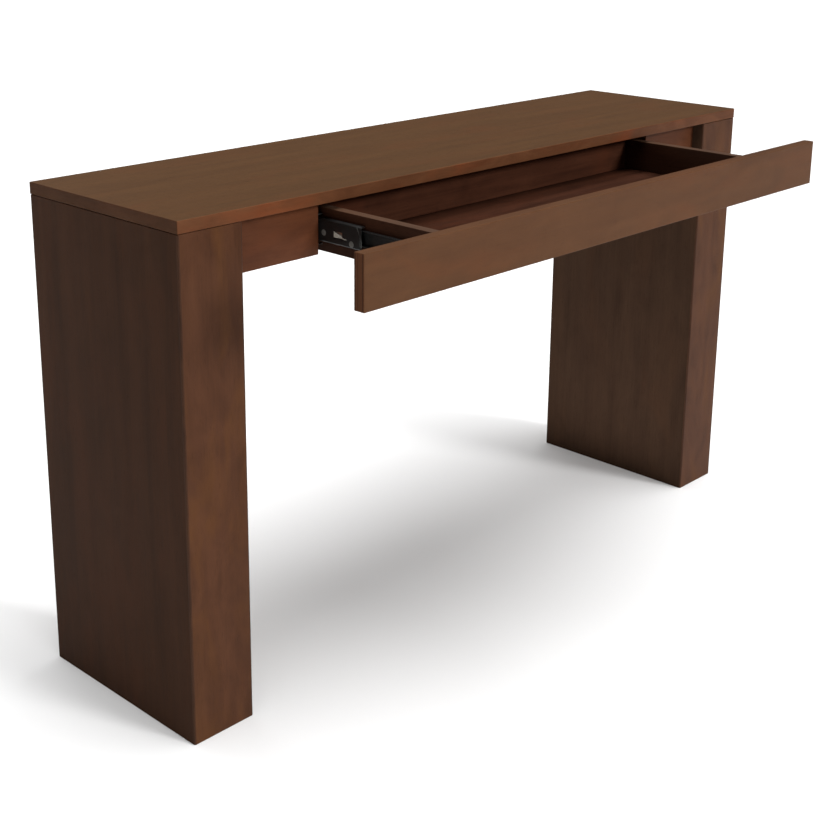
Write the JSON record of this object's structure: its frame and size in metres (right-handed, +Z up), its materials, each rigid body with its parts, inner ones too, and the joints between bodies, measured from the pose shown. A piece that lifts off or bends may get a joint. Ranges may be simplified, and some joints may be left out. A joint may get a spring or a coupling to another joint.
{
  "type": "console table",
  "caption": "Narrow console table on two broad box legs, with one wide handle-less drawer on ball-bearing slides, drawn part way out.",
  "frame": {"origin": "on the floor, at the middle of the footprint with the drawer drawn 229 mm out; the middle of the table itself is at Y = +113.5 mm", "axes": "+Z up, +X along the table to the right as seen from the drawer side, the drawer opens towards -Y"},
  "size_m": [1.346, 0.57, 0.762],
  "materials": {
    "top_veneer": "satin stained veneer, grain along the length",
    "leg_veneer": "satin stained veneer, grain upright",
    "apron_veneer": "satin stained veneer",
    "drawer_front_veneer": "satin stained veneer, grain along the length",
    "drawer_box_wood": "satin stained board",
    "block_wood": "unfinished softwood inside the table",
    "black_slide_steel": "black coated steel",
    "bright_steel": "zinc plated steel",
    "black_plastic": "matt",
    "white_nylon": "matt"
  },
  "bodies": {
    "table": {"table_top": "top_veneer", "left_leg_outer_panel": "leg_veneer", "left_leg_inner_panel": "leg_veneer", "left_leg_front_panel": "leg_veneer", "left_leg_back_panel": "leg_veneer", "left_leg_top_block": "block_wood", "left_leg_bottom_block": "block_wood", "left_leg_top_screw_front": "bright_steel", "left_leg_top_screw_rear": "bright_steel", "front_apron_left": "apron_veneer", "slide_rail_left": "apron_veneer", "right_leg_outer_panel": "leg_veneer", "right_leg_inner_panel": "leg_veneer", "right_leg_front_panel": "leg_veneer", "right_leg_back_panel": "leg_veneer", "right_leg_top_block": "block_wood", "right_leg_bottom_block": "block_wood", "right_leg_top_screw_front": "bright_steel", "right_leg_top_screw_rear": "bright_steel", "front_apron_right": "apron_veneer", "slide_rail_right": "apron_veneer", "back_apron": "apron_veneer", "left_slide_cabinet_member": "black_slide_steel", "left_slide_cabinet_screw_front": "bright_steel", "left_slide_cabinet_screw_rear": "bright_steel", "right_slide_cabinet_member": "black_slide_steel", "right_slide_cabinet_screw_front": "bright_steel", "right_slide_cabinet_screw_rear": "bright_steel"},
    "drawer": {"left_slide_drawer_member": "black_slide_steel", "left_slide_drawer_screw_front": "bright_steel", "left_slide_drawer_screw_rear": "bright_steel", "drawer_dowel_left_lower": "block_wood", "drawer_dowel_left_upper": "block_wood", "drawer_side_left": "drawer_box_wood", "right_slide_drawer_member": "black_slide_steel", "right_slide_drawer_screw_front": "bright_steel", "right_slide_drawer_screw_rear": "bright_steel", "drawer_dowel_right_lower": "block_wood", "drawer_dowel_right_upper": "block_wood", "drawer_side_right": "drawer_box_wood", "drawer_front": "drawer_front_veneer", "drawer_back": "drawer_box_wood", "drawer_bottom": "drawer_box_wood"},
    "left_middle_member": {"left_slide_middle_member": "black_slide_steel", "left_slide_hold_clip": "white_nylon", "left_slide_stop_rivet_front": "bright_steel", "left_slide_stop_rivet_rear": "bright_steel"},
    "left_outer_cage": {"left_slide_outer_ball_cage": "bright_steel"},
    "left_inner_cage": {"left_slide_inner_ball_cage": "bright_steel"},
    "left_lever": {"left_slide_release_lever": "black_plastic"},
    "right_middle_member": {"right_slide_middle_member": "black_slide_steel", "right_slide_hold_clip": "white_nylon", "right_slide_stop_rivet_front": "bright_steel", "right_slide_stop_rivet_rear": "bright_steel"},
    "right_outer_cage": {"right_slide_outer_ball_cage": "bright_steel"},
    "right_inner_cage": {"right_slide_inner_ball_cage": "bright_steel"},
    "right_lever": {"right_slide_release_lever": "black_plastic"}
  },
  "joints": [
    {"name": "drawer_slide", "type": "slide", "parent": "table", "child": "drawer", "axis": [0, -1, 0], "range_m": [-0.229, 0.021]},
    {"name": "left_middle_slide", "type": "slide", "parent": "table", "child": "left_middle_member", "axis": [0, -1, 0], "range_m": [-0.1145, 0.0105]},
    {"name": "left_outer_cage_slide", "type": "slide", "parent": "table", "child": "left_outer_cage", "axis": [0, -1, 0], "range_m": [-0.05725, 0.00525]},
    {"name": "left_inner_cage_slide", "type": "slide", "parent": "table", "child": "left_inner_cage", "axis": [0, -1, 0], "range_m": [-0.17175, 0.01575]},
    {"name": "right_middle_slide", "type": "slide", "parent": "table", "child": "right_middle_member", "axis": [0, -1, 0], "range_m": [-0.1145, 0.0105]},
    {"name": "right_outer_cage_slide", "type": "slide", "parent": "table", "child": "right_outer_cage", "axis": [0, -1, 0], "range_m": [-0.05725, 0.00525]},
    {"name": "right_inner_cage_slide", "type": "slide", "parent": "table", "child": "right_inner_cage", "axis": [0, -1, 0], "range_m": [-0.17175, 0.01575]},
    {"name": "left_lever_hinge", "type": "hinge", "parent": "drawer", "child": "left_lever", "pos_m": [-0.398, -0.035, 0.7015], "axis": [1, 0, 0], "range_deg": [0, 6], "stiffness_Nm_per_rad": 0.05},
    {"name": "right_lever_hinge", "type": "hinge", "parent": "drawer", "child": "right_lever", "pos_m": [0.398, -0.035, 0.7015], "axis": [-1, 0, 0], "range_deg": [0, 6], "stiffness_Nm_per_rad": 0.05}
  ],
  "couplings": [
    {"joint": "left_middle_slide", "follows": "drawer_slide", "ratio": 0.5},
    {"joint": "left_outer_cage_slide", "follows": "drawer_slide", "ratio": 0.25},
    {"joint": "left_inner_cage_slide", "follows": "drawer_slide", "ratio": 0.75},
    {"joint": "right_middle_slide", "follows": "drawer_slide", "ratio": 0.5},
    {"joint": "right_outer_cage_slide", "follows": "drawer_slide", "ratio": 0.25},
    {"joint": "right_inner_cage_slide", "follows": "drawer_slide", "ratio": 0.75}
  ]
}
